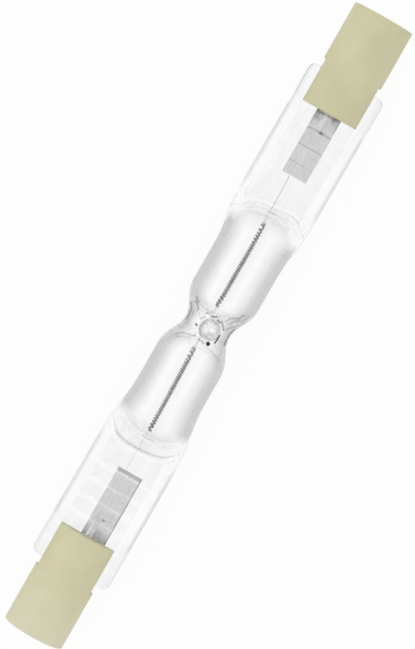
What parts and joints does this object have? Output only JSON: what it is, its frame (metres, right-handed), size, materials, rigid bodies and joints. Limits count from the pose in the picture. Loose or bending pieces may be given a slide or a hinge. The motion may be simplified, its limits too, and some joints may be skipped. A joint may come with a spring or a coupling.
{
  "type": "linear halogen bulb",
  "caption": "Double-ended clear quartz tube lamp with a drawn-in waist, flat pinches, foil seals, a coiled filament and a slotted ceramic cap with a recessed contact at each end.",
  "frame": {"origin": "middle of the lamp: halfway between the two contact faces, on the tube's axis", "axes": "+X along the tube towards the right-hand cap, +Y across it in the plane of the two flat pinches, +Z towards the side of the exhaust nub"},
  "size_m": [0.0782, 0.0098, 0.008],
  "materials": {
    "quartz": "clear, fire-polished",
    "tungsten": "drawn wire",
    "molybdenum": "rolled foil and drawn pin",
    "ceramic": "unglazed, cream",
    "nickel": "plated, satin",
    "cement": "matt, white"
  },
  "bodies": {
    "root": {"quartz_envelope": "quartz", "filament": "tungsten", "foil_left": "molybdenum", "foil_right": "molybdenum", "outer_lead_left": "molybdenum", "outer_lead_right": "molybdenum", "cap_left": "ceramic", "cap_right": "ceramic", "contact_left": "nickel", "contact_right": "nickel", "cement_left": "cement", "cement_right": "cement"}
  },
  "joints": []
}
